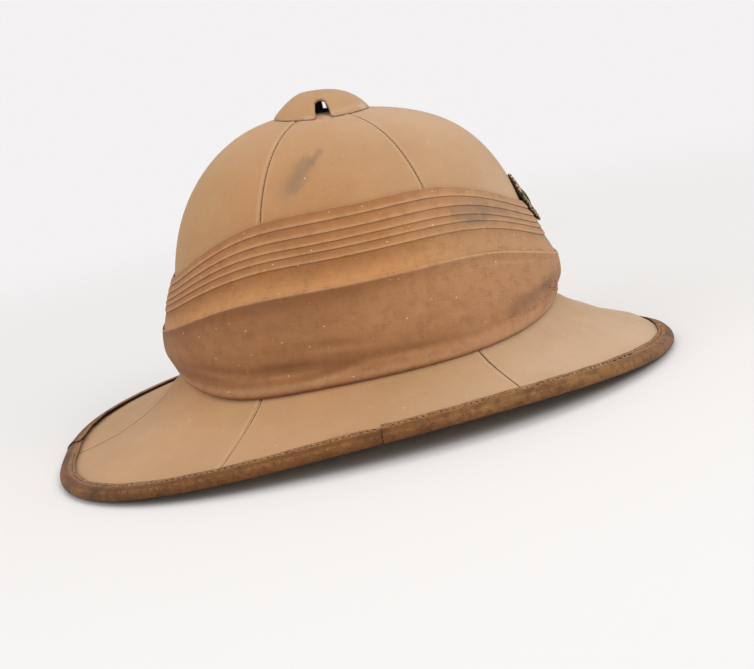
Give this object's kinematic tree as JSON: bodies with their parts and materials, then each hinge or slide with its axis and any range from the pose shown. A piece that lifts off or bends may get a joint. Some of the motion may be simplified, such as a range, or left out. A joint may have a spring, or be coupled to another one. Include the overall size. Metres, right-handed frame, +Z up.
{
  "type": "pith helmet",
  "caption": "Khaki cloth-covered pith helmet with a domed crown, flared leather-bound brim, pleated puggaree, ventilator cap and front badge.",
  "frame": {"origin": "on the ground under the middle of the brim, where the helmet rests on the front and back of its brim", "axes": "+X to the wearer's front, +Y to the wearer's left, +Z up through the crown"},
  "size_m": [0.3552, 0.283, 0.1775],
  "materials": {
    "pith": "matte moulded pith",
    "cover_cloth": "faded khaki cotton twill",
    "puggaree_cloth": "brown plain-weave cotton, pale at the pleat edges",
    "binding_leather": "worn dark brown leather",
    "stem_metal": "darkened brass",
    "badge_metal": "blackened brass with gilt on the raised edges"
  },
  "bodies": {
    "root": {"shell": "pith", "cover_panel_1": "cover_cloth", "cover_panel_2": "cover_cloth", "cover_panel_3": "cover_cloth", "cover_panel_4": "cover_cloth", "cover_panel_5": "cover_cloth", "cover_panel_6": "cover_cloth", "puggaree_folds": "puggaree_cloth", "puggaree_wrap": "puggaree_cloth", "binding_front": "binding_leather", "binding_back": "binding_leather", "ventilator_cap": "cover_cloth", "ventilator_stem": "stem_metal", "badge": "badge_metal"}
  },
  "joints": []
}
